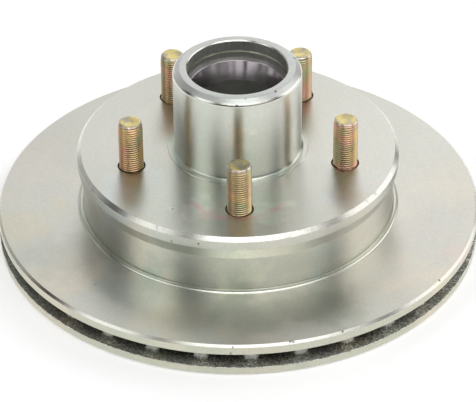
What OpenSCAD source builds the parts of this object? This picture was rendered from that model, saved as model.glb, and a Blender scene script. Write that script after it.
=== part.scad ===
// Hub rotor: a wheel hub and a ventilated brake disc cast in one piece, with
// five pressed wheel studs and the outer rings of its two tapered bearings.
// Millimetres. +Z runs along the hub's axis towards the cap end, and the origin
// is the centre of the disc's inboard face, on which the part rests.

/* [Brake disc] */
// Outer diameter of the disc
disc_d = 250; // [244:1:258]
// Thickness of the outboard friction plate, the one that carries the hat
outboard_plate_t = 5.4; // [4.8:0.1:8]
// Height of the air gap between the two plates
vent_gap = 7.8; // [7:0.1:10]
// Thickness of the inboard friction plate
inboard_plate_t = 4.8; // [4.4:0.1:8]
// Bore of the inboard plate, through which the air comes in
inboard_plate_bore = 168; // [164:1:172]
// Chamfer round the rim of each plate
disc_chamfer = 1.2; // [0.6:0.1:1.6]

/* [Vanes] */
// Number of cast vanes between the plates
vane_count = 30; // [26:1:34]
// Width of a vane
vane_w = 7; // [6:0.1:8]
// Fillet where a vane meets the plates
vane_fillet = 1.6; // [1:0.1:2]
// How far the vane tips stand back from the disc's rim
vane_tip_setback = 6.5; // [4:0.1:9]
// How far the vane roots stand back from the inboard plate's bore
vane_root_setback = 2.5; // [1:0.1:4]
// Angle from a wheel stud to the next vane
vane_turn = 2.2; // [0:0.1:6]

/* [Hat] */
// Height of the wheel face above the outboard friction face
hat_h = 33; // [30:0.5:38]
// Diameter of the hat's rim
rim_d = 165.8; // [165:0.1:168]
// How far the hat's wall stands in from its rim
rim_step = 2.3; // [1.5:0.1:2.6]
// Chamfer between the rim and the wheel face
rim_chamfer = 2; // [1:0.1:2.5]
// Height of the straight band of the rim
rim_band_h = 4.7; // [3:0.1:6]
// Height of the taper from the rim in to the wall
rim_taper_h = 6.5; // [4:0.1:8]
// Thickness of the hat's wall
hat_wall_t = 7.2; // [6:0.1:8]
// Thickness of the flange that carries the studs
flange_t = 11; // [9:0.5:13]
// Width of the raised ring round the foot of the hat
hat_ring_w = 2.2; // [1.5:0.1:3.2]
// Height of that ring above the friction face
hat_ring_h = 0.4; // [0.2:0.1:0.8]
// Fillet between that ring and the hat's wall
hat_ring_fillet = 0.4; // [0.2:0.1:0.8]

/* [Hub barrel] */
// Diameter of the barrel that centres the wheel
barrel_d = 65.6; // [64:0.1:67]
// Height of the hub's end above the wheel face
barrel_h = 47.3; // [42:0.1:60]
// Width of the rounded edge at the hub's end
end_round_w = 2.5; // [1.5:0.1:3]
// Height of that rounded edge
end_round_h = 1.9; // [1:0.1:3]
// Width of the raised ring round the foot of the barrel
barrel_ring_w = 3.6; // [3:0.1:4.2]
// Height of that ring above the wheel face
barrel_ring_h = 0.4; // [0.2:0.1:0.8]
// Fillet between the ring and the barrel
barrel_fillet = 1.6; // [1:0.1:2]
// Diameter of the barrel at its seal end, behind the flange
back_barrel_d = 80; // [78:0.5:82]
// How far the seal end stands in from the disc's inboard face
seal_end_setback = 3; // [2:0.5:6]
// Fillet between the back barrel and the flange
back_fillet = 5.5; // [3:0.1:5.5]
// Fillet between the flange and the hat's wall
hat_fillet = 5; // [3:0.1:5]
// Draft of the cast walls, in degrees
draft = 2; // [1:0.5:3]

/* [Bores] */
// Bore that takes the grease cap
cap_bore_d = 50.8; // [50.6:0.1:52]
// Depth of the cap bore
cap_bore_depth = 5.9; // [4:0.1:8]
// Height of the bevel that leads the outer cup into its seat
cup_lead_h = 0.9; // [0.5:0.1:1.5]
// Depth of the outer cup's face below the hub's end
outer_cup_depth = 11.1; // [10:0.1:14]
// Cast bore behind the outer cup
outer_core_d = 44; // [43:0.1:45]
// Length of the straight part of that bore
outer_core_h = 5; // [3:0.5:10]
// Cast bore behind the inner cup
inner_core_d = 52; // [50:0.5:54]
// Bore that takes the grease seal
seal_bore_d = 65.1; // [64:0.1:66]
// Depth of the seal bore
seal_bore_depth = 9.5; // [8:0.5:12]
// How far the inner cup's face lies above the floor of the seal bore
inner_cup_depth = 0.8; // [0.4:0.1:2]
// Chamfer at the mouths of the cap and seal bores
mouth_chamfer = 0.6; // [0.3:0.1:0.8]

/* [Bearing cups] */
// Outer diameter of the outer cup
outer_cup_d = 50.29; // [49.8:0.01:50.4]
// Width of the outer cup
outer_cup_w = 10.67; // [9:0.01:12]
// Outer diameter of the inner cup
inner_cup_d = 59.13; // [58:0.01:60]
// Width of the inner cup
inner_cup_w = 11.94; // [10:0.01:14]
// Width of a cup's flat face beside its race
cup_face_w = 1.3; // [1:0.1:1.6]
// Angle between a race and the axis
race_angle = 13.9; // [12:0.1:15]
// Bevel round a cup's outer edges
cup_bevel = 0.5; // [0.3:0.1:0.8]

/* [Wheel studs] */
// Number of wheel studs
stud_count = 5; // [5:1:5]
// Diameter of the circle that the studs stand on
stud_circle_d = 114.3; // [113:0.1:115]
// Diameter over the stud's thread
stud_d = 12.7; // [12:0.1:13.5]
// How far a stud stands out of the wheel face
stud_out = 26.5; // [24:0.5:40]
// Hole in the flange, in which the stud's knurl is pressed
stud_hole_d = 14.2; // [14:0.1:15]
// Chamfer at that hole's mouth on the wheel face
hole_chamfer = 0.1; // [0.1:0.1:0.6]
// Depth of the knurl's top below the wheel face
knurl_depth = 0.5; // [0.3:0.1:5]
// Number of teeth round the knurl
knurl_teeth = 36; // [24:1:48]
// Height of a knurl tooth
knurl_tooth_h = 0.45; // [0.3:0.05:0.6]
// Height of the lead-in cone at the knurl's top
knurl_lead_h = 2.4; // [1:0.1:3]
// Diameter of the neck between the knurl and the thread
neck_d = 11.8; // [11:0.1:12]
// How far above the wheel face the thread begins
thread_start_h = 0.4; // [0.2:0.1:1]
// Diameter of the stud's head
head_d = 19; // [17:0.1:20]
// Thickness of the stud's head
head_t = 4.6; // [3:0.1:6]
// Bevel round the stud's head
head_bevel = 0.8; // [0.3:0.1:1.2]
// Chamfer at the stud's tip
tip_chamfer = 1.1; // [0.5:0.1:1.5]
// Diameter of the dish in the stud's tip
tip_dish_d = 6; // [4:0.1:8]
// Depth of that dish
tip_dish = 0.5; // [0.2:0.1:1]

/* [Hidden] */
$fn = 120;
// Radial room that the model leaves between pressed pieces
press_room = 0.01;
// How far a vane's feet are sunk into the plates that it joins
vane_bury = 0.1;
// How far a cutting tool runs past the face that it cuts
past = 1;
// Faces in a quarter of a small fillet, and in one of a large fillet
small_arc = 3;
large_arc = 6;

// Heights, from the disc's inboard face up
vent_low_z = inboard_plate_t;
vent_high_z = vent_low_z + vent_gap;
disc_z = vent_high_z + outboard_plate_t;
face_z = disc_z + hat_h;
flange_z = face_z - flange_t;
end_z = face_z + barrel_h;
outer_seat_z = end_z - outer_cup_depth - outer_cup_w;
seal_z = seal_end_setback;
seal_floor_z = seal_z + seal_bore_depth;
inner_face_z = seal_floor_z + inner_cup_depth;
inner_seat_z = inner_face_z + inner_cup_w;
rim_band_z = face_z - rim_chamfer - rim_band_h;

// Radii
disc_r = disc_d / 2;
rim_r = rim_d / 2;
wall_r = rim_r - rim_step;
hat_inner_r = wall_r - hat_wall_t;
hat_mouth_r = hat_inner_r + (flange_z - vent_high_z) * tan(draft);
barrel_r = barrel_d / 2;
back_root_r = back_barrel_d / 2 + (flange_z - seal_z) * tan(draft);
cap_r = cap_bore_d / 2;
outer_seat_r = outer_cup_d / 2 + press_room;
inner_seat_r = inner_cup_d / 2 + press_room;
seal_r = seal_bore_d / 2;
vane_tip_r = disc_r - vane_tip_setback;
vane_root_r = inboard_plate_bore / 2 + vane_root_setback;
stud_circle_r = stud_circle_d / 2;
knurl_r = stud_hole_d / 2 - press_room;

stud_angles = [for (i = [0 : stud_count - 1]) -90 + i * 360 / stud_count];
vane_angles = [for (i = [0 : vane_count - 1]) -90 + vane_turn + i * 360 / vane_count];

// Points of an arc about centre, from angle a to angle b, in n steps
function arc(centre, rx, ry, a, b, n) =
    [for (i = [0 : n]) let (t = a + (b - a) * i / n) centre + [rx * cos(t), ry * sin(t)]];

// Bores, from the cap end down to the seal end
function bore_outline() = [
    [cap_r + mouth_chamfer, end_z],
    [cap_r, end_z - mouth_chamfer],
    [cap_r, end_z - cap_bore_depth],
    [outer_seat_r, end_z - cap_bore_depth - cup_lead_h],
    [outer_seat_r, outer_seat_z],
    [outer_core_d / 2, outer_seat_z],
    [outer_core_d / 2, outer_seat_z - outer_core_h],
    [inner_core_d / 2, inner_seat_z],
    [inner_seat_r, inner_seat_z],
    [inner_seat_r, seal_floor_z],
    [seal_r, seal_floor_z],
    [seal_r, seal_z + mouth_chamfer],
    [seal_r + mouth_chamfer, seal_z]
];

// Cast back: barrel, flange and inside of the hat, out to the vent gap
function back_outline() = concat(
    [[back_barrel_d / 2 - mouth_chamfer, seal_z], [back_barrel_d / 2, seal_z + mouth_chamfer]],
    arc([back_root_r + back_fillet, flange_z - back_fillet], back_fillet, back_fillet, 180, 90, large_arc),
    arc([hat_inner_r - hat_fillet, flange_z - hat_fillet], hat_fillet, hat_fillet, 90, 0, large_arc),
    arc([hat_mouth_r + vane_fillet, vent_high_z + vane_fillet], vane_fillet, vane_fillet, 180, 270, small_arc)
);

// Turned front: disc, hat and barrel, from the vent gap up to the hub's end
function front_outline() = concat(
    [[disc_r, vent_high_z], [disc_r, disc_z - disc_chamfer], [disc_r - disc_chamfer, disc_z]],
    foot_ring_outline(wall_r, disc_z, hat_ring_w, hat_ring_h, hat_ring_fillet),
    [[wall_r, rim_band_z - rim_taper_h],
     [rim_r, rim_band_z],
     [rim_r, face_z - rim_chamfer],
     [rim_r - rim_chamfer, face_z]],
    foot_ring_outline(barrel_r, face_z, barrel_ring_w, barrel_ring_h, barrel_fillet),
    arc([barrel_r - end_round_w, end_z - end_round_h], end_round_w, end_round_h, 0, 90, large_arc)
);

// Low bevelled ring, w wide and h high, round the foot of a wall of radius r, and the fillet up to that wall
function foot_ring_outline(r, z, w, h, fillet) = concat(
    [[r + w, z], [r + w - h, z + h]],
    arc([r + fillet, z + h + fillet], fillet, fillet, 270, 180, small_arc)
);

module turned_body() {
    rotate_extrude()
        polygon(concat(bore_outline(), back_outline(), front_outline()));
}

module inboard_plate() {
    rotate_extrude()
        polygon([
            [inboard_plate_bore / 2, disc_chamfer],
            [inboard_plate_bore / 2 + disc_chamfer, 0],
            [disc_r - disc_chamfer, 0],
            [disc_r, disc_chamfer],
            [disc_r, vent_low_z],
            [inboard_plate_bore / 2, vent_low_z]
        ]);
}

// Half of a vane's section, waisted by its fillets and buried in both plates
module vane_half_section() {
    foot_w = vane_w / 2 + vane_fillet;
    low = vane_fillet - vane_bury;
    high = vent_gap - low;
    polygon(concat(
        [[0, -vane_bury]],
        arc([foot_w, low], vane_fillet, vane_fillet, 270, 180, small_arc),
        arc([foot_w, high], vane_fillet, vane_fillet, 180, 90, small_arc),
        [[0, vent_gap + vane_bury]]
    ));
}

// One straight vane along +X with round ends
module vane() {
    root = vane_root_r + vane_w / 2;
    tip = vane_tip_r - vane_w / 2;
    translate([root, 0, vent_low_z])
        rotate([90, 0, 90])
            linear_extrude(tip - root) {
                vane_half_section();
                mirror([1, 0]) vane_half_section();
            }
    translate([root, 0, vent_low_z])
        rotate([0, 0, 90]) rotate_extrude(angle = 180) vane_half_section();
    translate([tip, 0, vent_low_z])
        rotate([0, 0, -90]) rotate_extrude(angle = 180) vane_half_section();
}

module stud_hole() {
    translate([0, 0, flange_z - past])
        cylinder(d = stud_hole_d, h = flange_t + 2 * past);
    translate([0, 0, face_z - hole_chamfer])
        cylinder(d1 = stud_hole_d, d2 = stud_hole_d + 2 * (hole_chamfer + past), h = hole_chamfer + past);
}

// The casting, turned where bearings, wheel and pads touch it
module hub_rotor() {
    color([0.80, 0.80, 0.76])
        difference() {
            union() {
                turned_body();
                inboard_plate();
                for (a = vane_angles)
                    rotate([0, 0, a]) vane();
            }
            for (a = stud_angles)
                rotate([0, 0, a]) translate([stud_circle_r, 0, 0]) stud_hole();
        }
}

// Outer ring of a tapered bearing, lying on its narrow face, with its race open upwards
module bearing_cup(d, w) {
    r = d / 2;
    race_r = r - cup_face_w;
    rotate_extrude()
        polygon([
            [race_r - w * tan(race_angle), 0],
            [r - cup_bevel, 0],
            [r, cup_bevel],
            [r, w - cup_bevel],
            [r - cup_bevel, w],
            [race_r, w]
        ]);
}

module outer_bearing_cup() {
    color([0.45, 0.44, 0.47])
        translate([0, 0, outer_seat_z])
            bearing_cup(outer_cup_d, outer_cup_w);
}

module inner_bearing_cup() {
    color([0.45, 0.44, 0.47])
        translate([0, 0, inner_seat_z])
            rotate([180, 0, 0])
                bearing_cup(inner_cup_d, inner_cup_w);
}

// Toothed band that grips the hole, with a cone at its top that leads it in
module stud_knurl() {
    step = 180 / knurl_teeth;
    root_r = knurl_r - knurl_tooth_h;
    neck_r = neck_d / 2;
    top_z = face_z - knurl_depth;
    intersection() {
        translate([0, 0, flange_z])
            linear_extrude(flange_t - knurl_depth)
                polygon([
                    for (i = [0 : 2 * knurl_teeth - 1])
                        let (r = i % 2 == 0 ? knurl_r : root_r) [r * cos(i * step), r * sin(i * step)]
                ]);
        rotate_extrude()
            polygon([
                [0, flange_z - past],
                [knurl_r + past, flange_z - past],
                [knurl_r + past, top_z - knurl_lead_h * (1 + past / (knurl_r - neck_r))],
                [neck_r, top_z],
                [0, top_z]
            ]);
    }
}

// Head, neck and threaded shank, turned as one; the thread is drawn at its major diameter
module stud_blank() {
    head_r = head_d / 2;
    stud_r = stud_d / 2;
    neck_r = neck_d / 2;
    thread_z = face_z + thread_start_h;
    tip_z = face_z + stud_out;
    rotate_extrude()
        polygon([
            [0, flange_z - head_t],
            [head_r - head_bevel, flange_z - head_t],
            [head_r, flange_z - head_t + head_bevel],
            [head_r, flange_z],
            [neck_r, flange_z],
            [neck_r, thread_z],
            [stud_r, thread_z + (stud_r - neck_r)],
            [stud_r, tip_z - tip_chamfer],
            [stud_r - tip_chamfer, tip_z],
            [tip_dish_d / 2, tip_z],
            [0, tip_z - tip_dish]
        ]);
}

// Stud number i, pressed in from behind until its head meets the flange
module wheel_stud(i) {
    color([0.68, 0.58, 0.38])
        rotate([0, 0, stud_angles[i - 1]])
            translate([stud_circle_r, 0, 0]) {
                stud_blank();
                stud_knurl();
            }
}

hub_rotor();
outer_bearing_cup();
inner_bearing_cup();
wheel_stud(1);  // wheel_stud_1
wheel_stud(2);  // wheel_stud_2
wheel_stud(3);  // wheel_stud_3
wheel_stud(4);  // wheel_stud_4
wheel_stud(5);  // wheel_stud_5
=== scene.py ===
# Hub rotor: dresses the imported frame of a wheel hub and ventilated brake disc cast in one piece.
# Outlines are in millimetres as radius and height; meshes are in metres, in the frame's own place.
import math

import bmesh
import bpy
from bpy.props import FloatProperty, FloatVectorProperty, IntProperty, PointerProperty
from mathutils import Matrix, Vector, noise


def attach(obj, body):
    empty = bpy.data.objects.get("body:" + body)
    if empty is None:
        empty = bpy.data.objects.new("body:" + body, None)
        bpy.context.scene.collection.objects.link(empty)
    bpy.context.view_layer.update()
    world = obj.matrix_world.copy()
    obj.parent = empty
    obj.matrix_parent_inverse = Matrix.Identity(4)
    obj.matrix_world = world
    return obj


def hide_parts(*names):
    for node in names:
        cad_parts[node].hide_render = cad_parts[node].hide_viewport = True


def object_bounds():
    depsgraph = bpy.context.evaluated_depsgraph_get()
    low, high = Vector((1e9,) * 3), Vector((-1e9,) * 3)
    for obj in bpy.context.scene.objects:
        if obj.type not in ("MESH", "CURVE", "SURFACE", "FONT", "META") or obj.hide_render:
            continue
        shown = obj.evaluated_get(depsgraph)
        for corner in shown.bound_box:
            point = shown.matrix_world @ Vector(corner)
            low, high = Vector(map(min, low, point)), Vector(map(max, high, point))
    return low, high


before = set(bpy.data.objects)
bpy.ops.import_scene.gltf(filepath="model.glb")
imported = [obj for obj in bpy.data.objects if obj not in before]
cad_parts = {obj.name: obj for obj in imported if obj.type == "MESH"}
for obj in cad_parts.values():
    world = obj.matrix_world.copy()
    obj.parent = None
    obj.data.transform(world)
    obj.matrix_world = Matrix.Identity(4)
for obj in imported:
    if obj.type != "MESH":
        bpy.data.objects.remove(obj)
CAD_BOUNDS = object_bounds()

bl_info = {
    "name": "Hub rotor",
    "version": (1, 0, 0),
    "blender": (4, 5, 0),
    "location": "3D View > Sidebar > Hub rotor",
    "description": "Builds a plated hub rotor with its bearing cups, wheel studs and studio",
    "category": "Add Mesh",
}

MM = 0.001
TURN = 2 * math.pi
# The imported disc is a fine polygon, so its narrower way across keeps the dressed disc inside it
DISC_DIAMETER = 2 * min(CAD_BOUNDS[1][0], CAD_BOUNDS[1][1])


# Settings

def length(name, description, millimetres):
    """A length in metres, given in millimetres."""
    return FloatProperty(name=name, description=description, default=millimetres * MM, min=0.0,
                         precision=5, unit="LENGTH")


def colour(name, description, red, green, blue):
    """A colour, given by its shares of linear red, green and blue."""
    return FloatVectorProperty(name=name, description=description, default=(red, green, blue),
                               min=0.0, max=1.0, size=3, subtype="COLOR")


class HubRotorSizes(bpy.types.PropertyGroup):
    disc_diameter: length("Disc diameter", "Outer diameter of the brake disc", DISC_DIAMETER / MM)
    outboard_plate: length("Outboard plate", "Thickness of the plate that carries the hat", 5.4)
    vent_gap: length("Vent gap", "Height of the air gap between the plates", 7.8)
    inboard_plate: length("Inboard plate", "Thickness of the plate on the axle's side", 4.8)
    inboard_bore: length("Inboard bore", "Bore of the inboard plate", 168)
    hat_height: length("Hat height", "Wheel face above the friction face", 33)
    rim_diameter: length("Rim diameter", "Diameter of the hat's rim", 165.8)
    flange: length("Flange", "Thickness of the flange that carries the studs", 11)
    barrel_diameter: length("Barrel diameter", "Diameter of the hub's barrel", 65.6)
    barrel_height: length("Barrel height", "Hub end above the wheel face", 47.3)
    cast_relief: length("Cast relief", "Height of the grain on rough cast faces", 0.28)
    vane_count: IntProperty(name="Vanes", description="Number of cast vanes", default=30, min=3)
    vane_width: length("Vane width", "Width of a vane between its fillets", 7)
    vane_fillet: length("Vane fillet", "Fillet where a vane meets a plate", 1.6)
    vane_setback: length("Vane setback", "How far vane tips stand back from the rim", 6.5)
    cap_bore: length("Cap bore", "Bore that the grease cap is pressed in", 50.8)
    cast_bore: length("Cast bore", "Bore left as cast between the bearings", 44)
    seal_bore: length("Seal bore", "Bore that the grease seal is pressed in", 65.1)
    back_barrel: length("Back barrel", "Diameter of the hub's back end", 80)
    segments: IntProperty(name="Segments", description="Faces round a turned surface", default=288, min=48)


class BearingCupSizes(bpy.types.PropertyGroup):
    outer_diameter: length("Outer cup diameter", "Diameter of the cup under the cap", 50.29)
    outer_width: length("Outer cup width", "Width of the cup under the cap", 10.67)
    outer_depth: length("Outer cup depth", "Seat of the outer cup below the hub's end", 21.77)
    inner_diameter: length("Inner cup diameter", "Diameter of the cup above the seal", 59.13)
    inner_width: length("Inner cup width", "Width of the cup above the seal", 11.94)
    inner_seat: length("Inner cup seat", "Height of the inner cup's seat", 25.24)
    face_width: length("Face width", "Width of a cup's flat face outside its race", 1.3)


class WheelStudSizes(bpy.types.PropertyGroup):
    count: IntProperty(name="Studs", description="Number of wheel studs", default=5, min=3)
    circle: length("Stud circle", "Diameter of the circle that the studs stand on", 114.3)
    diameter: length("Thread diameter", "Diameter over the thread", 12.5)
    pitch: length("Thread pitch", "Distance from one turn of thread to the next", 1.27)
    reach: length("Reach", "How far a stud stands out of the wheel face", 26.5)
    hole: length("Hole", "Diameter of the hole that the knurl grips", 14.2)
    knurl_teeth: IntProperty(name="Knurl teeth", description="Teeth round the knurl", default=36, min=12)
    head: length("Head", "Diameter of the stud's head", 19)


class FinishColours(bpy.types.PropertyGroup):
    zinc: colour("Zinc", "Clear zinc plating on turned faces", 0.735, 0.735, 0.672)
    zinc_warm: colour("Warm zinc", "Warm tint in the clear plating", 0.80, 0.745, 0.66)
    zinc_cool: colour("Cool zinc", "Green tint in the clear plating", 0.66, 0.72, 0.63)
    casting: colour("Casting", "Plated skin of rough cast faces", 0.60, 0.60, 0.54)
    edges: colour("Edges", "Bright chamfers of the turned faces", 0.80, 0.79, 0.73)
    faced: colour("Faced end", "Machined end of the hub", 0.77, 0.775, 0.75)
    rims: colour("Rims", "Clear zinc plating on the rims of the disc", 0.64, 0.64, 0.53)
    bored: colour("Bored iron", "Plated walls of the bores", 0.60, 0.61, 0.57)
    bearing: colour("Bearing steel", "Ground steel of the bearing cups", 0.76, 0.72, 0.75)
    yellow: colour("Yellow zinc", "Yellow passivated zinc on the studs", 0.61, 0.48, 0.265)
    floor: colour("Floor", "Colour of the floor", 0.93, 0.93, 0.93)


class Millimetres:
    """Reads the lengths of a property group in millimetres, as the outlines are written."""

    def __init__(self, group):
        self.group = group

    def __getattr__(self, name):
        """A setting of the group: a length in millimetres, or a count as it is."""
        value = getattr(self.group, name)
        return value / MM if isinstance(value, float) else value


# Node trees

class Graph:
    """Adds nodes to one tree. Each input is a plain value, or the socket to link to it."""

    COLUMNS = 9
    COLUMN_STEP, ROW_STEP = 220, -260
    # A Mix node has sockets for every kind of data; these are the ones that carry colours
    MIX_FACTOR, MIX_FIRST, MIX_SECOND, MIX_RESULT = 0, 6, 7, 2

    def __init__(self, tree):
        self.tree = tree

    def node(self, kind, inputs=None, **settings):
        """A new node with its settings and inputs, set down in rows."""
        node = self.tree.nodes.new(kind)
        row, column = divmod(len(self.tree.nodes), self.COLUMNS)
        node.location = (self.COLUMN_STEP * column, self.ROW_STEP * row)
        for name, value in settings.items():
            setattr(node, name, value)
        for name, value in (inputs or {}).items():
            self.feed(node.inputs[name], value)
        return node

    def feed(self, socket, value):
        """Links a socket to an input, or sets the input to a plain value."""
        if isinstance(value, bpy.types.NodeSocket):
            self.tree.links.new(value, socket)
        elif hasattr(socket.default_value, "__len__") and len(socket.default_value) == 4 and len(value) == 3:
            socket.default_value = (*value, 1.0)
        else:
            socket.default_value = value

    def math(self, operation, *values, clamp=False):
        """Result of a Math node."""
        node = self.node("ShaderNodeMath", dict(enumerate(values)), operation=operation, use_clamp=clamp)
        return node.outputs[0]

    def vector(self, operation, *values):
        """Result of a Vector Math node, a number for lengths and distances."""
        node = self.node("ShaderNodeVectorMath", dict(enumerate(values)), operation=operation)
        return node.outputs["Value" if operation in ("LENGTH", "DISTANCE", "DOT_PRODUCT") else "Vector"]

    def steps(self, value, low, high):
        """0 below low, 1 above high, and smooth between them."""
        node = self.node("ShaderNodeMapRange", {"Value": value, "From Min": low, "From Max": high},
                         interpolation_type="SMOOTHSTEP")
        return node.outputs["Result"]

    def split(self, vector):
        """The three parts of a vector."""
        return self.node("ShaderNodeSeparateXYZ", {"Vector": vector}).outputs

    def join(self, x, y, z):
        """A vector from its three parts."""
        return self.node("ShaderNodeCombineXYZ", {"X": x, "Y": y, "Z": z}).outputs["Vector"]

    def noise(self, vector, scale, detail=2.0, roughness=0.5):
        """Smooth noise from 0 to 1, with scale counted per metre."""
        node = self.node("ShaderNodeTexNoise", {"Vector": vector, "Scale": scale, "Detail": detail,
                                                "Roughness": roughness})
        return node.outputs["Fac"]

    def mix(self, factor, first, second, blend="MIX"):
        """Two colours mixed: the first at factor 0, the second at 1."""
        node = self.node("ShaderNodeMix", data_type="RGBA", blend_type=blend)
        self.feed(node.inputs[self.MIX_FACTOR], factor)
        self.feed(node.inputs[self.MIX_FIRST], first)
        self.feed(node.inputs[self.MIX_SECOND], second)
        return node.outputs[self.MIX_RESULT]

    def group(self, tree, inputs):
        """Outputs of a node group that is placed with its own values."""
        node = self.node("ShaderNodeGroup", node_tree=tree)
        for name, value in inputs.items():
            self.feed(node.inputs[name], value)
        return node.outputs


def node_group(name, kind, inputs, outputs):
    """A new node group: its graph, the values it is given and the sockets that it puts out."""
    tree = bpy.data.node_groups.new(name, kind)
    for side, sockets in (("INPUT", inputs), ("OUTPUT", outputs)):
        for label, socket_type, *default in sockets:
            socket = tree.interface.new_socket(name=label, in_out=side,
                                               socket_type="NodeSocket" + socket_type)
            if default:
                socket.default_value = default[0]
    graph = Graph(tree)
    given = graph.node("NodeGroupInput").outputs
    return graph, given, graph.node("NodeGroupOutput").inputs


def once(builder):
    """Builds a shared node group the first time it is asked for."""
    made = {}

    def tree():
        if builder not in made:
            made[builder] = builder()
        return made[builder]
    return tree


@once
def turning_marks():
    """Fine grooves of the lathe tool: they follow the radius on faces and the height on walls."""
    graph, given, out = node_group(
        "Turning marks", "ShaderNodeTree",
        [("Vector", "Vector"), ("Groove Width", "Float", 0.0006), ("Waver", "Float", 0.25)],
        [("Height", "Float"), ("Shade", "Float")])
    x, y, z = graph.split(given["Vector"])
    radius = graph.vector("LENGTH", graph.join(x, y, 0.0))
    along = graph.math("DIVIDE", graph.math("SUBTRACT", radius, z), given["Groove Width"])
    waver = graph.math("MULTIPLY", graph.noise(given["Vector"], 60.0), given["Waver"])
    line = graph.join(graph.math("ADD", along, waver), 0.0, 0.0)
    fine = graph.noise(line, 1.0, detail=3.0, roughness=0.7)
    broad = graph.noise(line, 0.11, detail=2.0)
    graph.feed(out["Height"], fine)
    graph.feed(out["Shade"], graph.math("ADD", graph.math("MULTIPLY", fine, 0.6),
                                        graph.math("MULTIPLY", broad, 0.4)))
    return graph.tree


@once
def plating_film():
    """Cloudy shift between the plain, warm and cool tints of a passivated zinc film."""
    graph, given, out = node_group(
        "Plating film", "ShaderNodeTree",
        [("Vector", "Vector"), ("Plain", "Color"), ("Warm", "Color"), ("Cool", "Color"),
         ("Cloud Scale", "Float", 14.0), ("Strength", "Float", 0.5)],
        [("Color", "Color"), ("Cloud", "Float")])
    cloud = graph.noise(given["Vector"], given["Cloud Scale"], detail=3.0, roughness=0.55)
    patch = graph.noise(graph.vector("ADD", given["Vector"], (0.37, 0.11, 0.05)),
                        graph.math("MULTIPLY", given["Cloud Scale"], 0.7), detail=2.0)
    warm = graph.math("MULTIPLY", graph.steps(cloud, 0.46, 0.66), given["Strength"])
    cool = graph.math("MULTIPLY", graph.steps(patch, 0.50, 0.68), given["Strength"])
    graph.feed(out["Color"], graph.mix(cool, graph.mix(warm, given["Plain"], given["Warm"]), given["Cool"]))
    graph.feed(out["Cloud"], cloud)
    return graph.tree


@once
def cast_grain():
    """Sand grain of a rough cast skin, with a mask for painted glints: bright specks where the grain stands
    proud.
    """
    graph, given, out = node_group(
        "Cast grain", "ShaderNodeTree",
        [("Vector", "Vector"), ("Grain", "Float", 900.0)],
        [("Height", "Float"), ("Pits", "Float"), ("Glints", "Float")])
    coarse = graph.noise(given["Vector"], given["Grain"], detail=4.0, roughness=0.65)
    cells = graph.node("ShaderNodeTexVoronoi", {"Vector": given["Vector"],
                                                "Scale": graph.math("MULTIPLY", given["Grain"], 1.3)})
    graph.feed(out["Height"], graph.math("SUBTRACT", coarse,
                                         graph.math("MULTIPLY", cells.outputs["Distance"], 0.35)))
    graph.feed(out["Pits"], graph.steps(coarse, 0.58, 0.42))
    sparse = graph.math("MULTIPLY", coarse, graph.math("ADD", graph.noise(
        given["Vector"], graph.math("MULTIPLY", given["Grain"], 0.35)), 0.5))
    graph.feed(out["Glints"], graph.steps(sparse, 0.57, 0.63))
    return graph.tree


@once
def round_spot():
    """A soft spot about one point, 1 at its centre, with a ragged edge and a clouded outline."""
    graph, given, out = node_group(
        "Round spot", "ShaderNodeTree",
        [("Vector", "Vector"), ("Centre", "Vector"), ("Radius", "Float", 0.001), ("Ragged", "Float", 0.5),
         ("Clouded", "Float", 0.0)],
        [("Mask", "Float")])
    reach = graph.vector("DISTANCE", given["Vector"], given["Centre"])
    rough = graph.math("SUBTRACT", graph.noise(given["Vector"], 1100.0, detail=2.0), 0.5)
    reach = graph.math("ADD", graph.math("DIVIDE", reach, given["Radius"]),
                       graph.math("MULTIPLY", rough, given["Ragged"]))
    cloud = graph.noise(given["Vector"], graph.math("DIVIDE", 1.3, given["Radius"]), detail=2.0)
    reach = graph.math("MULTIPLY_ADD", graph.math("SUBTRACT", cloud, 0.5), given["Clouded"], reach)
    graph.feed(out["Mask"], graph.steps(reach, 1.0, 0.35))
    return graph.tree


@once
def round_arc():
    """A soft ring about one point, kept to the part of it in front of a line across the piece."""
    graph, given, out = node_group(
        "Round arc", "ShaderNodeTree",
        [("Vector", "Vector"), ("Centre", "Vector"), ("Radius", "Float", 0.02),
         ("Half Width", "Float", 0.002), ("Front", "Float")],
        [("Mask", "Float")])
    x, y, z = graph.split(graph.vector("SUBTRACT", given["Vector"], given["Centre"]))
    reach = graph.vector("LENGTH", graph.join(x, y, 0.0))
    reach = graph.math("MULTIPLY_ADD", graph.noise(given["Vector"], 60.0), given["Half Width"], reach)
    reach = graph.math("MULTIPLY_ADD", given["Half Width"], -0.5, reach)
    off = graph.vector("LENGTH", graph.join(graph.math("SUBTRACT", reach, given["Radius"]), z, 0.0))
    _, y, _ = graph.split(given["Vector"])
    ahead = graph.steps(y, given["Front"], graph.math("SUBTRACT", given["Front"], 0.008))
    patchy = graph.steps(graph.noise(given["Vector"], 90.0), 0.30, 0.60)
    graph.feed(out["Mask"], graph.math("MULTIPLY", graph.math("MULTIPLY", graph.steps(
        off, given["Half Width"], 0.0), ahead), patchy))
    return graph.tree


@once
def handling_specks():
    """Small dark specks and light scuffs left by handling; the scuffs also serve as painted dark reflection.
    """
    graph, given, out = node_group(
        "Handling specks", "ShaderNodeTree",
        [("Vector", "Vector"), ("Density", "Float", 0.5)],
        [("Specks", "Float"), ("Scuffs", "Float")])
    cells = graph.node("ShaderNodeTexVoronoi", {"Vector": given["Vector"], "Scale": 170.0})
    size = graph.math("MULTIPLY", graph.noise(given["Vector"], 25.0, detail=1.0), given["Density"])
    graph.feed(out["Specks"], graph.steps(cells.outputs["Distance"],
                                          graph.math("MULTIPLY", size, 0.16), 0.0))
    graph.feed(out["Scuffs"], graph.steps(graph.noise(given["Vector"], 260.0, detail=4.0, roughness=0.7),
                                          0.54, 0.72))
    return graph.tree


# Finishes

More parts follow.
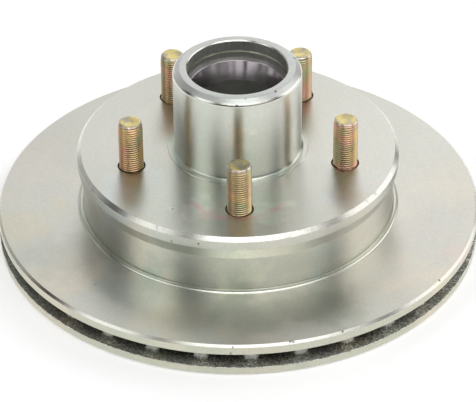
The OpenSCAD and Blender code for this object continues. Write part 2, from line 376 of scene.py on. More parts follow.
def new_finish(name):
    """A material with only a Principled BSDF, its graph, the shader's inputs and object coordinates."""
    material = bpy.data.materials.new(name)
    material.use_nodes = True
    graph = Graph(material.node_tree)
    graph.tree.nodes.clear()
    shader = graph.node("ShaderNodeBsdfPrincipled")
    graph.node("ShaderNodeOutputMaterial", {"Surface": shader.outputs["BSDF"]})
    place = graph.node("ShaderNodeTexCoord").outputs["Object"]
    return material, graph, shader.inputs, place


def turned_metal(graph, shader, stretch):
    """Metal whose highlights spread across the grooves that a lathe leaves round the axis."""
    shader["Metallic"].default_value = 1.0
    shader["Anisotropic"].default_value = stretch
    shader["Anisotropic Rotation"].default_value = 0.25
    graph.feed(shader["Tangent"], graph.node("ShaderNodeTangent", direction_type="RADIAL",
                                             axis="Z").outputs["Tangent"])


def bumps(graph, shader, height, distance):
    """Relief of a finish, as high as the distance."""
    bump = graph.node("ShaderNodeBump", {"Height": height, "Distance": distance})
    graph.feed(shader["Normal"], bump.outputs["Normal"])


def spot_mask(graph, place, centre, radius, ragged=0.5, clouded=0.0):
    """Mask of one soft spot, with its centre and radius in millimetres."""
    return graph.group(round_spot(), {"Vector": place, "Centre": Vector(centre) * MM, "Radius": radius * MM,
                                      "Ragged": ragged, "Clouded": clouded})["Mask"]


# Where the plating is tinted, and where patches paint light and shade as lighter or darker plating: centre
# in millimetres, radius, colour, and strength
FILM_AND_LIGHT_PATCHES = (
    ((-14, -60, 51), 9, (0.94, 0.70, 0.70), 0.40),
    ((-15, -51, 51), 12, (0.66, 0.76, 0.60), 0.30),
    ((15, -50, 51), 11, (0.66, 0.78, 0.60), 0.30),
    ((16, -61, 51), 12, (0.92, 1.00, 0.86), 0.50),
    ((-23, -56, 51), 12, (0.98, 0.98, 0.93), 0.50),
    ((-55, -40, 51), 22, (0.75, 0.82, 0.82), 0.50),
    ((54, -40, 51), 22, (0.74, 0.79, 0.79), 0.50),
    ((-30, -14, 70), 13, (0.62, 0.62, 0.56), 0.50),
    ((30, -14, 72), 13, (0.86, 0.89, 0.84), 0.50),
    ((0, -33, 78), 9, (0.90, 0.86, 0.74), 0.50),
    ((-44, -68, 31), 15, (0.92, 0.86, 0.74), 0.50),
    ((0, -81, 29), 17, (0.92, 0.92, 0.78), 0.50),
    ((41, -70, 31), 15, (0.64, 0.73, 0.66), 0.50),
    ((92, -70, 18), 26, (0.88, 0.80, 0.64), 0.40),
    ((100, -34, 18), 36, (0.70, 0.70, 0.65), 0.50),
    ((112, -50, 18), 10, (0.86, 0.70, 0.64), 0.40),
    ((112, 4, 18), 20, (0.84, 0.78, 0.66), 0.30),
    ((-90, -70, 18), 30, (0.84, 0.74, 0.59), 0.45),
    ((-91, -46, 18), 26, (0.58, 0.58, 0.52), 0.45),
    ((-113, -20, 18), 26, (0.78, 0.73, 0.58), 0.55),
    ((-108, 30, 18), 34, (0.80, 0.76, 0.68), 0.40),
    ((-34, -108, 18), 26, (0.84, 0.77, 0.62), 0.45),
    ((-58, -76, 18), 20, (0.54, 0.62, 0.57), 0.45),
    ((4, -101, 18), 20, (0.54, 0.60, 0.50), 0.52),
    ((38, -99, 18), 26, (0.50, 0.54, 0.45), 0.60),
)
# Arcs of tint where the plating ran: centre, radius, half width and the y that each stays in front of,
# in millimetres, then colour and strength
FILM_ARCS = (
    ((0.4, -38.5, 51), 26.5, 3.8, -48, (0.94, 0.58, 0.64), 0.70),
    ((0.4, -38.5, 51), 22.3, 3.8, -48, (0.56, 0.80, 0.58), 0.65),
    ((0, 0, 51.6), 34.6, 2.6, 60, (0.60, 0.78, 0.64), 0.60),
    ((0, 0, 18.6), 82.2, 2.4, 90, (0.66, 0.74, 0.60), 0.45),
    ((0, 0, 92.2), 25.3, 0.7, 60, (0.66, 0.72, 0.42), 0.60),
)
# Nicks in the edges of the casting: centre and radius in millimetres
NICKS = (
    ((-0.6, -32.7, 96.0), 1.0), ((3.6, -29.7, 98.3), 0.8), ((18.7, -23.1, 98.3), 1.0),
    ((29.4, 8.5, 97.8), 1.2), ((-5.5, -124.9, 13.5), 0.9), ((-4.4, -124.4, 16.9), 0.8),
    ((23.5, -121.7, 18.0), 1.0), ((24.9, -121.9, 17.7), 0.8), ((49.1, -114.1, 17.6), 0.8),
    ((99.2, -74.4, 17.8), 0.9), ((-33.8, -75.7, 45.3), 0.7), ((-20.6, -80.3, 46.8), 0.7),
    ((-33.3, -56.5, 51.0), 0.6), ((-72.2, -74.0, 18.0), 0.6),
)
SPECK_COLOUR = (0.25, 0.24, 0.21)
SCUFF_AND_DARK_REFLECTION_COLOUR = (0.22, 0.22, 0.20)
NICK_COLOUR = (0.10, 0.09, 0.08)


def film_tint(graph, place, colours, plain):
    """Zinc with its cloudy film, the patches of tint and of painted light and shade, the arcs of tint, and
    the film's cloud.
    """
    warm, cool = ([p * c / z for p, c, z in zip(plain, other, colours.zinc)]
                  for other in (colours.zinc_warm, colours.zinc_cool))
    film = graph.group(plating_film(), {"Vector": place, "Plain": plain, "Warm": warm, "Cool": cool,
                                        "Strength": 0.45})
    tint = film["Color"]
    # Patches of tint and of painted light and shade
    for centre, radius, patch, strength in FILM_AND_LIGHT_PATCHES:
        spot = spot_mask(graph, place, centre, radius, ragged=0.3, clouded=2.4)
        tint = graph.mix(graph.math("MULTIPLY", spot, strength), tint, patch)
    for centre, radius, half_width, front, patch, strength in FILM_ARCS:
        band = graph.group(round_arc(), {"Vector": place, "Centre": Vector(centre) * MM,
                                         "Radius": radius * MM, "Half Width": half_width * MM,
                                         "Front": front * MM})["Mask"]
        tint = graph.mix(graph.math("MULTIPLY", band, strength), tint, patch)
    return tint, film["Cloud"]


def chatter_shade(graph, place, strength):
    """Streaks that the boring tool leaves along the cap bore, above the outer cup."""
    x, y, z = graph.split(place)
    around_x, around_y, _ = graph.split(graph.vector("NORMALIZE", graph.join(x, y, 0.0)))
    streak = graph.noise(graph.join(around_x, around_y, z), 24.0, detail=3.0)
    above_cup = graph.math("MULTIPLY", graph.steps(z, 87 * MM, 88 * MM), strength)
    light_or_dark = graph.math("SUBTRACT", graph.steps(streak, 0.35, 0.65), 0.5)
    return graph.math("MULTIPLY_ADD", light_or_dark, above_cup, 1.0)


def nick_mask(graph, place, nicks):
    """Mask of all the nicks together."""
    dents = 0.0
    for centre, radius in nicks:
        dents = graph.math("MAXIMUM", dents, spot_mask(graph, place, centre, radius, ragged=1.6))
    return dents


def plated_finish(name, colours, plain, roughness, stretch, groove, relief, worn=0.0, chatter=0.0,
                  nicks=NICKS):
    """Clear zinc on a turned face, whose grooves are given by width and depth in millimetres."""
    material, graph, shader, place = new_finish(name)
    turned_metal(graph, shader, stretch)
    marks = graph.group(turning_marks(), {"Vector": place, "Groove Width": groove * MM})
    tint, cloud = film_tint(graph, place, colours, plain)
    mottle = graph.steps(graph.noise(place, 650.0, detail=3.0, roughness=0.6), 0.35, 0.65)
    shade = graph.math("ADD", graph.steps(marks["Shade"], 0.3, 0.7), mottle)
    shade = graph.math("MULTIPLY_ADD", shade, 0.05, 0.94)
    if chatter:
        shade = graph.math("MULTIPLY", shade, chatter_shade(graph, place, chatter))
    tint = graph.mix(1.0, tint, graph.join(shade, shade, shade), "MULTIPLY")
    specks = graph.group(handling_specks(), {"Vector": place, "Density": 0.8})
    tint = graph.mix(graph.math("MULTIPLY", specks["Specks"], 0.45), tint, SPECK_COLOUR)
    if worn:
        # Hands reach the hub and the hat more than the disc; the dark scuffs are wear and painted dark
        # reflection
        raised = graph.steps(graph.split(place)[2], 20 * MM, 40 * MM)
        handled = graph.math("MULTIPLY_ADD", raised, 0.8 * worn, 0.2 * worn)
        tint = graph.mix(graph.math("MULTIPLY", specks["Scuffs"], handled), tint, SCUFF_AND_DARK_REFLECTION_COLOUR)
    height = graph.math("MULTIPLY_ADD", graph.noise(place, 900.0, detail=2.0), 2.2, marks["Height"])
    if nicks:
        dents = nick_mask(graph, place, nicks)
        tint = graph.mix(graph.math("MULTIPLY", dents, 0.8), tint, NICK_COLOUR)
        height = graph.math("SUBTRACT", height, graph.math("MULTIPLY", dents, 8.0))
    graph.feed(shader["Base Color"], tint)
    graph.feed(shader["Roughness"], graph.math("MULTIPLY_ADD", cloud, 0.10, roughness - 0.05))
    bumps(graph, shader, height, relief * MM)
    return material


GRIT_COLOUR = (0.10, 0.10, 0.085)
PAINTED_GLINT_COLOUR = (0.97, 0.97, 0.93)


def cast_finish(colours):
    """Plated skin of the faces left as cast: dark grit with painted glints, painted shade deep in the vent
    gap and on the left side, and painted light toward the rim and on upright faces.
    """
    material, graph, shader, place = new_finish("rough_casting")
    grain = graph.group(cast_grain(), {"Vector": place, "Grain": 950.0})
    film = graph.group(plating_film(), {"Vector": place, "Plain": colours.casting,
                                        "Warm": [c * k for c, k in zip(colours.casting, (1.1, 0.95, 0.8))],
                                        "Cool": [c * k for c, k in zip(colours.casting, (0.85, 0.95, 0.88))],
                                        "Cloud Scale": 60.0, "Strength": 0.7})
    x, y, _ = graph.split(place)
    upright = graph.split(graph.node("ShaderNodeNewGeometry").outputs["Normal"])[2]
    sideways = graph.steps(graph.math("ABSOLUTE", upright), 0.8, 0.3)
    # Painted shade on the left side, which also has less grit and fewer painted glints
    shaded_left = graph.steps(x, 0.0, -0.11)
    gritty = graph.math("MULTIPLY_ADD", sideways, -0.6, 1.0)
    gritty = graph.math("MULTIPLY", gritty, graph.math("MULTIPLY_ADD", shaded_left, -0.4, 1.0))
    pitted = graph.math("MULTIPLY", grain["Pits"], graph.math("MULTIPLY", gritty, 0.68))
    tint = graph.mix(pitted, film["Color"], GRIT_COLOUR)
    # Painted glints: bright specks in the colour, fewer on upright faces and on the left
    tint = graph.mix(graph.math("MULTIPLY", grain["Glints"], gritty), tint, PAINTED_GLINT_COLOUR)
    # Painted light and shade in the vent gap: dark deep inside, lighter toward the rim, lightest on upright
    # faces such as the vane ends
    radius = graph.vector("LENGTH", graph.join(x, y, 0.0))
    lit_toward_rim = graph.mix(sideways, graph.steps(radius, 0.114, 0.1245), graph.steps(radius, 0.108, 0.117))
    shade = graph.math("MULTIPLY_ADD", lit_toward_rim, graph.math("MULTIPLY_ADD", sideways, 0.8, 0.67), 0.60)
    shade = graph.math("MULTIPLY", shade, graph.math("MULTIPLY_ADD", shaded_left, -0.30, 1.0))
    tint = graph.mix(1.0, tint, graph.join(shade, shade, shade), "MULTIPLY")
    graph.feed(shader["Base Color"], tint)
    shader["Metallic"].default_value = 0.85
    graph.feed(shader["Roughness"], graph.math("MULTIPLY_ADD", grain["Glints"], -0.25, 0.55))
    bumps(graph, shader, grain["Height"], 0.35 * MM)
    return material


RACE_PITS = (((1.2, 21.4, 85.0), 0.4),)
PIT_COLOUR = (0.06, 0.05, 0.05)


def steel_finish(name, colours, roughness, brightness, pits=()):
    """Ground bearing steel, with marks that run round the axis."""
    material, graph, shader, place = new_finish(name)
    turned_metal(graph, shader, 0.5)
    marks = graph.group(turning_marks(), {"Vector": place, "Groove Width": 0.4 * MM, "Waver": 0.1})
    base = [c * brightness for c in colours.bearing]
    tint = graph.mix(graph.steps(marks["Shade"], 0.3, 0.75), [c * 0.88 for c in base], base)
    for centre, radius in pits:
        spot = spot_mask(graph, place, centre, radius)
        tint = graph.mix(graph.math("MULTIPLY", spot, 0.8), tint, PIT_COLOUR)
    graph.feed(shader["Base Color"], tint)
    graph.feed(shader["Roughness"], graph.math("MULTIPLY_ADD", marks["Shade"], 0.06, roughness - 0.03))
    bumps(graph, shader, marks["Height"], 0.002 * MM)
    return material


# Drifts of tint over the studs: offset and scale of the noise, where it starts and is full, strength, colour
STUD_DRIFTS = (
    (0.00, 70.0, 0.46, 0.62, 0.80, (0.90, 0.50, 0.38)),
    (0.23, 85.0, 0.52, 0.68, 0.60, (0.50, 0.60, 0.34)),
    (0.51, 60.0, 0.50, 0.66, 0.60, (0.88, 0.62, 0.28)),
    (0.77, 380.0, 0.52, 0.70, 0.35, (0.88, 0.64, 0.56)),
)
ROOT_SHADE_COLOUR = (0.10, 0.07, 0.03)
TIP_HIGHLIGHT_COLOURS = ((0.46, 0.38, 0.33), (0.92, 0.86, 0.82))
CROWN_COLOURS = ((0.80, 0.67, 0.26), (0.46, 0.43, 0.31))


def from_stud_axis(graph, place, studs):
    """Distance of a point from the axis of the stud that is nearest to it."""
    x, y, _ = graph.split(place)
    sector = TURN / studs.count
    heading = graph.math("ADD", graph.math("ARCTAN2", y, x), math.pi / 2)
    heading = graph.math("WRAP", heading, sector / 2, -sector / 2)
    reach = graph.vector("LENGTH", graph.join(x, y, 0.0))
    outward = graph.math("MULTIPLY", reach, graph.math("COSINE", heading))
    sideways = graph.math("MULTIPLY", reach, graph.math("SINE", heading))
    outward = graph.math("SUBTRACT", outward, studs.circle / 2 * MM)
    return graph.vector("LENGTH", graph.join(outward, sideways, 0.0))


def stud_finish(colours, studs, root_r, tip_z):
    """Yellow passivated zinc: gold that drifts to pink, green and orange, with painted shade in the thread's
    roots, deeper lower down, and a painted highlight on the tip's chamfer.
    """
    material, graph, shader, place = new_finish("yellow_zinc")
    x, y, height = graph.split(place)
    stretched = graph.join(x, y, graph.math("MULTIPLY", height, 1.5))
    tint = colours.yellow
    for offset, scale, low, high, strength, shade in STUD_DRIFTS:
        drift = graph.noise(graph.vector("ADD", stretched, (offset, 0.0, 0.0)), scale, detail=1.0)
        patch = graph.math("MULTIPLY", graph.steps(drift, low, high), strength)
        tint = graph.mix(patch, tint, shade)
    # Painted shade in the thread's roots, darker towards the stud's foot
    root = graph.steps(from_stud_axis(graph, place, studs), (studs.diameter / 2 - 0.15) * MM,
                       (root_r + 0.1) * MM)
    lower = graph.steps(height, (tip_z - 3) * MM, (tip_z - 14) * MM)
    root_shade = graph.math("MULTIPLY", root, graph.math("MULTIPLY_ADD", lower, 0.34, 0.28))
    tint = graph.mix(root_shade, tint, ROOT_SHADE_COLOUR)
    # Painted highlight: the tip's chamfer is painted pale, mottled with dark
    tip = graph.steps(height, (tip_z - 1.3) * MM, (tip_z - 0.9) * MM)
    upright = graph.split(graph.node("ShaderNodeNewGeometry").outputs["Normal"])[2]
    crown = graph.math("MULTIPLY", graph.steps(upright, 0.78, 0.92), tip)
    tip_highlight_mottle = graph.steps(graph.noise(place, 1300.0, detail=1.0), 0.40, 0.60)
    tint = graph.mix(graph.math("MULTIPLY", tip, 0.75), tint, graph.mix(tip_highlight_mottle, *TIP_HIGHLIGHT_COLOURS))
    stain = graph.steps(graph.noise(place, 130.0, detail=2.0), 0.42, 0.60)
    tint = graph.mix(graph.math("MULTIPLY", crown, 0.9), tint, graph.mix(stain, *CROWN_COLOURS))
    graph.feed(shader["Base Color"], tint)
    shader["Metallic"].default_value = 1.0
    wear = graph.noise(place, 600.0, detail=2.0)
    graph.feed(shader["Roughness"], graph.math("MULTIPLY_ADD", wear, 0.10, 0.27))
    bumps(graph, shader, wear, 0.01 * MM)
    return material


# Turned shapes

# Finishes of the casting, in the order of its material slots; OPEN leaves a face to be filled later
TURNED, BRIGHT, BORED, CAST, FACED, RIM, OPEN = range(7)
# Sizes of the casting in millimetres that follow no setting
EDGE_BREAK = 0.18
LEAD = 0.6
CAST_BREAK = 0.6
DISC_CHAMFER = 1.2
RIM_CHAMFER = 2.0
RIM_OVERHANG = 2.3
HAT_WALL = 9.5
HUB_BACK = 3.0
SEAL_SEAT = 12.5
PRESS_ROOM = 0.01
DRAFT = math.tan(math.radians(2))
# The ring at the foot of the hat: distance out from the hat's wall, height above the disc, rounding, finish
FOOT_RING = (
    (3.2, 0.0, 0.5, TURNED), (2.6, 0.12, 0.05, BRIGHT), (2.15, 0.56, 0.05, TURNED),
    (1.98, 0.56, 0.04, TURNED), (1.9, 0.20, 0.04, TURNED), (1.66, 0.74, 0.05, TURNED),
    (0.6, 0.74, 0.05, TURNED), (0.5, 0.22, 0.05, TURNED), (0.0, 0.5, 0.06, TURNED),
)
# Close rows on the inboard plate near its rim, which the grain moves
GRAIN_ROWS, GRAIN_STEP = 16, 0.8

# A corner nearer to straight than this half angle stays as it is; a rounding takes most of half a side
NEARLY_STRAIGHT = math.radians(87)
MOST_OF_HALF = 0.48
LARGE_ARC_STEP, SMALL_ARC_STEP = math.radians(12), math.radians(24)
TINY = 1e-6


def arc(centre, radius, start, end, steps, finish):
    """Points of an arc in degrees, none of them rounded again."""
    angles = [math.radians(start + (end - start) * i / steps) for i in range(steps + 1)]
    return [(centre[0] + radius * math.cos(a), centre[1] + radius * math.sin(a), 0.0, finish)
            for a in angles]


def soften(corners):
    """Replaces each corner that has a rounding by a small arc; gives radius, height and finish."""
    points = []
    for i, (r, z, rounding, finish) in enumerate(corners):
        here = Vector((r, z))
        back = Vector(corners[i - 1][:2]) - here
        ahead = Vector(corners[(i + 1) % len(corners)][:2]) - here
        if rounding <= 0 or back.length < TINY or ahead.length < TINY:
            points.append((r, z, finish))
            continue
        u, v = back.normalized(), ahead.normalized()
        half = math.acos(max(-1.0, min(1.0, u.dot(v)))) / 2
        if half > NEARLY_STRAIGHT:
            points.append((r, z, finish))
            continue
        reach = min(rounding / math.tan(half), MOST_OF_HALF * back.length, MOST_OF_HALF * ahead.length)
        radius = reach * math.tan(half)
        centre = here + (u + v).normalized() * (radius / math.sin(half))
        first, last = here + u * reach - centre, here + v * reach - centre
        start = math.atan2(first.y, first.x)
        sweep = (math.atan2(last.y, last.x) - start + math.pi) % TURN - math.pi
        steps = max(2, math.ceil(abs(sweep) / (LARGE_ARC_STEP if rounding > 1 else SMALL_ARC_STEP)))
        on_arc = corners[i - 1][3] if finish == OPEN else finish
        points += [(centre.x + radius * math.cos(start + sweep * k / steps),
                    centre.y + radius * math.sin(start + sweep * k / steps), on_arc)
                   for k in range(steps + 1)]
        points[-1] = (*points[-1][:2], finish)
    return points


def lathe(bm, outline, segments):
    """Turns an outline about Z. The outline runs anticlockwise, so its faces point outwards."""
    rings = []
    for r, z, _ in outline:
        if r < TINY:
            rings.append([bm.verts.new((0, 0, z * MM))] * segments)
            continue
        rings.append([bm.verts.new((r * math.cos(a) * MM, r * math.sin(a) * MM, z * MM))
                      for a in (TURN * j / segments for j in range(segments))])
    for i, (_, _, finish) in enumerate(outline):
        if finish == OPEN:
            continue
        low, high = rings[i], rings[(i + 1) % len(rings)]
        for j in range(segments):
            k = (j + 1) % segments
            corners = list(dict.fromkeys((low[j], low[k], high[k], high[j])))
            if len(corners) < 3:
                continue
            face = bm.faces.new(corners)
            face.material_index = finish
            face.smooth = True
    return rings


def ring_edges(bm, ring):
    """Edges that join the vertices of a ring."""
    return [bm.edges.get((ring[i - 1], ring[i])) for i in range(len(ring))]


def fill_between(bm, rings, finish, facing):
    """Fills a flat face that is bounded by rings, with the ones inside it left as holes."""
    edges = [edge for ring in rings for edge in ring_edges(bm, ring)]
    filled = bmesh.ops.triangle_fill(bm, use_beauty=True, use_dissolve=False, edges=edges,
                                     normal=(0, 0, facing))
    for item in filled["geom"]:
        if isinstance(item, bmesh.types.BMFace):
            item.material_index = finish
            item.smooth = True
            item.normal_update()
            if item.normal.z * facing < 0:
                item.normal_flip()


def heights(s):
    """Heights of the gap's top, the friction face, the wheel face, the flange's back and the hub's end."""
    vent_z = s.inboard_plate + s.vent_gap
    disc_z = vent_z + s.outboard_plate
    face_z = disc_z + s.hat_height
    return vent_z, disc_z, face_z, face_z - s.flange, face_z + s.barrel_height


def bore_corners(s, cups):
    """Corners of the bores, from the hub's end down to its back."""
    end_z = heights(s)[-1]
    seat_z, inner_z = end_z - cups.outer_depth, cups.inner_seat
    cap_z, step_z = end_z - 5.9, end_z - 6.8
    cap_r, cast_r, seal_r = s.cap_bore / 2, s.cast_bore / 2, s.seal_bore / 2
    outer_r, inner_r = cups.outer_diameter / 2 + PRESS_ROOM, cups.inner_diameter / 2 + PRESS_ROOM
    return [
        (cap_r + LEAD, end_z, EDGE_BREAK, BRIGHT), (cap_r, end_z - LEAD, EDGE_BREAK, BORED),
        (cap_r, cap_z, EDGE_BREAK, BRIGHT), (outer_r, step_z, EDGE_BREAK, BORED),
        (outer_r, seat_z, 0, BORED), (cast_r, seat_z, 0.5, BORED), (cast_r, seat_z - 5, 2.0, BORED),
        (cast_r + 4, inner_z, 0.5, BORED), (inner_r, inner_z, 0, BORED),
        (inner_r, SEAL_SEAT, EDGE_BREAK, BORED), (seal_r, SEAL_SEAT, EDGE_BREAK, BORED),
        (seal_r, HUB_BACK + LEAD, EDGE_BREAK, BRIGHT), (seal_r + LEAD, HUB_BACK, EDGE_BREAK, TURNED),
    ]


def back_corners(s):
    """Corners left as cast, from the hub's back round the channel to the gap between the plates."""
    vent_z, _, _, flange_z, _ = heights(s)
    foot_r, hat_r = s.back_barrel / 2, s.rim_diameter / 2 - HAT_WALL
    return [
        (foot_r - CAST_BREAK, HUB_BACK, 0.4, CAST), (foot_r, HUB_BACK + CAST_BREAK, 0.4, CAST),
        (foot_r + (flange_z - HUB_BACK) * DRAFT, flange_z, 5.5, OPEN), (hat_r, flange_z, 5.0, CAST),
        (hat_r + (flange_z - vent_z) * DRAFT, vent_z, 1.6, CAST),
    ]


def disc_corners(s):
    """Corners of the outboard plate and of the ring at the foot of the hat."""
    vent_z, disc_z, *_ = heights(s)
    disc_r, wall_r = s.disc_diameter / 2, s.rim_diameter / 2 - RIM_OVERHANG
    rim = [
        (disc_r, vent_z, 0.3, RIM), (disc_r, disc_z - DISC_CHAMFER, EDGE_BREAK, BRIGHT),
        (disc_r - DISC_CHAMFER, disc_z, EDGE_BREAK, TURNED),
    ]
    return rim + [(wall_r + out, disc_z + up, rounding, finish) for out, up, rounding, finish in FOOT_RING]


def hat_corners(s):
    """Corners of the hat's wall, its taper and its rim."""
    face_z, rim_r = heights(s)[2], s.rim_diameter / 2
    return [
        (rim_r - RIM_OVERHANG, face_z - 13.2, 1.2, TURNED), (rim_r, face_z - 6.7, 0.8, TURNED),
        (rim_r, face_z - RIM_CHAMFER, EDGE_BREAK, BRIGHT), (rim_r - RIM_CHAMFER, face_z, EDGE_BREAK, OPEN),
    ]


def barrel_corners(s):
    """Corners of the barrel, from the small step at its foot to the cone of its end."""
    _, _, face_z, _, end_z = heights(s)
    barrel_r, fillet, step, step_width = s.barrel_diameter / 2, 1.6, 0.4, 3.3
    foot = arc((barrel_r + fillet, face_z + step + fillet), fillet, 270, 180, 6, TURNED)
    cone_start, cone_width = 1.6, 3.3
    return [
        (barrel_r + step_width + 0.15, face_z, 0.05, TURNED),
        (barrel_r + step_width, face_z + 0.35, 0.15, TURNED), *foot,
        (barrel_r, end_z - cone_start - 1.1, 1.6, BRIGHT), (barrel_r - 1.0, end_z - cone_start, 0.9, FACED),
        (barrel_r - cone_width, end_z, 1.0, FACED),
    ]


def body_outline(s, cups):
    """Outline of the turned body, anticlockwise from the cap bore's mouth."""
    return soften(bore_corners(s, cups) + back_corners(s) + disc_corners(s) + hat_corners(s)
                  + barrel_corners(s))


def plate_outline(s):
    """Outline of the inboard plate, with close rows on its cast face near the rim for the grain."""
    disc_r, bore_r, top = s.disc_diameter / 2, s.inboard_bore / 2, s.inboard_plate
    corners = [
        (bore_r, DISC_CHAMFER, EDGE_BREAK, CAST), (bore_r + DISC_CHAMFER, 0, EDGE_BREAK, TURNED),
        (disc_r - DISC_CHAMFER, 0, EDGE_BREAK, BRIGHT), (disc_r, DISC_CHAMFER, EDGE_BREAK, RIM),
        (disc_r, top - 0.25, 0, CAST), (disc_r - 0.2, top, 0, CAST),
    ]
    corners += [(disc_r - GRAIN_STEP * row, top, 0, CAST) for row in range(1, GRAIN_ROWS + 1)]
    corners.append((bore_r, top, 0.4, CAST))
    return soften(corners)


def roughen(vertices, relief):
    """Moves vertices up or down by the grain of a sand casting, coarse and fine."""
    coarse, fine = 900.0, 1890.0
    for vertex in vertices:
        lift = noise.noise(vertex.co * coarse) + 0.6 * noise.noise(vertex.co * fine)
        vertex.co.z += lift * relief * 0.6


def finished_mesh(bm, name):
    """The mesh of what was built, which is then let go."""
    mesh = bpy.data.meshes.new(name)
    bm.to_mesh(mesh)
    bm.free()
    return mesh


def turned_mesh(name, outline, segments):
    """Mesh of a piece that is turned from one outline."""
    bm = bmesh.new()
    lathe(bm, outline, segments)
    return finished_mesh(bm, name)


# Grown shapes

def grid_position(graph, across, along):
    """A unit grid of cells, and its two coordinates from 0 to 1."""
    grid = graph.node("GeometryNodeMeshGrid", {"Size X": 1.0, "Size Y": 1.0, "Vertices X": across,
                                               "Vertices Y": along}).outputs["Mesh"]
    x, y, _ = graph.split(graph.node("GeometryNodeInputPosition").outputs["Position"])
    return grid, graph.math("ADD", x, 0.5), graph.math("ADD", y, 0.5)


def place_round(graph, grid, radius, angle, height):
    """Rolls a grid round the axis and closes its seam."""
    x = graph.math("MULTIPLY", radius, graph.math("COSINE", angle))
    y = graph.math("MULTIPLY", radius, graph.math("SINE", angle))
    rolled = graph.node("GeometryNodeSetPosition", {"Geometry": grid, "Position": graph.join(x, y, height)})
    return graph.node("GeometryNodeMergeByDistance", {"Geometry": rolled.outputs["Geometry"],
                                                      "Distance": TINY}).outputs["Geometry"]


def vane_tree():
    """Straight vanes with blunt ends and filleted feet, repeated round the disc."""
    around, rows = 48, 15
    sunk_in_plates = 0.4 * MM
    graph, given, out = node_group("Cooling vanes", "GeometryNodeTree", [
        ("Vanes", "Int", 30), ("First Angle", "Float", 0.0), ("Root Radius", "Float", 0.0865),
        ("Tip Radius", "Float", 0.1185), ("Width", "Float", 0.007), ("Fillet", "Float", 0.0016),
        ("Squareness", "Float", 0.5), ("Low", "Float", 0.0048), ("Gap", "Float", 0.0078),
        ("Relief", "Float", 0.0003), ("Seed", "Float", 3.0), ("Material", "Material")],
        [("Geometry", "Geometry")])
    grid, u, v = grid_position(graph, around + 1, rows)
    angle = graph.math("MULTIPLY", graph.math("ADD", u, 0.5 / around), TURN)
    rise = graph.math("MULTIPLY", given["Gap"], graph.math(
        "MULTIPLY_ADD", graph.math("COSINE", graph.math("MULTIPLY", v, math.pi)), -0.5, 0.5))
    edge = graph.math("MINIMUM", graph.math("MINIMUM", rise, graph.math("SUBTRACT", given["Gap"], rise)),
                      given["Fillet"])
    inset = graph.math("SUBTRACT", given["Fillet"], edge)
    bulge = graph.math("SUBTRACT", graph.math("MULTIPLY", given["Fillet"], given["Fillet"]),
                       graph.math("MULTIPLY", inset, inset))
    bulge = graph.math("SQRT", bulge)
    half = graph.math("ADD", graph.math("MULTIPLY", given["Width"], 0.5),
                      graph.math("SUBTRACT", given["Fillet"], bulge))
    side = graph.math("SIGN", graph.math("COSINE", angle))
    middle = graph.math("MULTIPLY", graph.math("ADD", given["Tip Radius"], given["Root Radius"]), 0.5)
    reach = graph.math("MULTIPLY", graph.math("SUBTRACT", graph.math(
        "SUBTRACT", given["Tip Radius"], given["Root Radius"]), given["Width"]), 0.5)
    square = [graph.math("MULTIPLY", graph.math("SIGN", turned), graph.math(
        "POWER", graph.math("ABSOLUTE", turned), given["Squareness"]))
        for turned in (graph.math("COSINE", angle), graph.math("SINE", angle))]
    x = graph.math("MULTIPLY_ADD", side, reach, middle)
    x = graph.math("MULTIPLY_ADD", half, square[0], x)
    y = graph.math("MULTIPLY", half, square[1])
    sunk = graph.math("MULTIPLY_ADD", graph.math("SUBTRACT", v, 0.5), sunk_in_plates, given["Low"])
    vane = graph.node("GeometryNodeSetPosition", {
        "Geometry": grid, "Position": graph.join(x, y, graph.math("ADD", sunk, rise))}).outputs["Geometry"]
    vane = graph.node("GeometryNodeMergeByDistance", {
        "Geometry": vane, "Distance": TINY}).outputs["Geometry"]
    spots = graph.node("GeometryNodeMeshLine", {
        "Count": given["Vanes"], "Offset": (0, 0, 0)}).outputs["Mesh"]
    index = graph.node("GeometryNodeInputIndex").outputs["Index"]
    turn = graph.math("ADD", given["First Angle"], graph.math("DIVIDE", graph.math("MULTIPLY", index, TURN),
                                                             given["Vanes"]))
    turned = graph.node("FunctionNodeAxisAngleToRotation", {"Axis": (0, 0, 1), "Angle": turn})
    vanes = graph.node("GeometryNodeInstanceOnPoints", {
        "Points": spots, "Instance": vane, "Rotation": turned.outputs["Rotation"]}).outputs["Instances"]
    vanes = graph.node("GeometryNodeRealizeInstances", {"Geometry": vanes}).outputs["Geometry"]
    place = graph.node("GeometryNodeInputPosition").outputs["Position"]
    grain = graph.noise(graph.vector("ADD", place, graph.join(given["Seed"], 0.0, 0.0)), 700.0, detail=2.0)
    lift = graph.math("MULTIPLY", graph.math("SUBTRACT", grain, 0.5), given["Relief"])
    normal = graph.node("GeometryNodeInputNormal").outputs["Normal"]
    offset = graph.vector("MULTIPLY", normal, graph.join(lift, lift, lift))
    vanes = graph.node("GeometryNodeSetPosition", {"Geometry": vanes, "Offset": offset}).outputs["Geometry"]
    smooth = graph.node("GeometryNodeSetShadeSmooth", {"Geometry": vanes}).outputs["Geometry"]
    graph.feed(out["Geometry"], graph.node("GeometryNodeSetMaterial", {
        "Geometry": smooth, "Material": given["Material"]}).outputs["Geometry"])
    return graph.tree


# Faces round a thread and rows of faces to one turn of it, and columns of faces to one tooth of a knurl
THREAD_SIDES, THREAD_ROWS, TOOTH_COLUMNS = 48, 8, 6


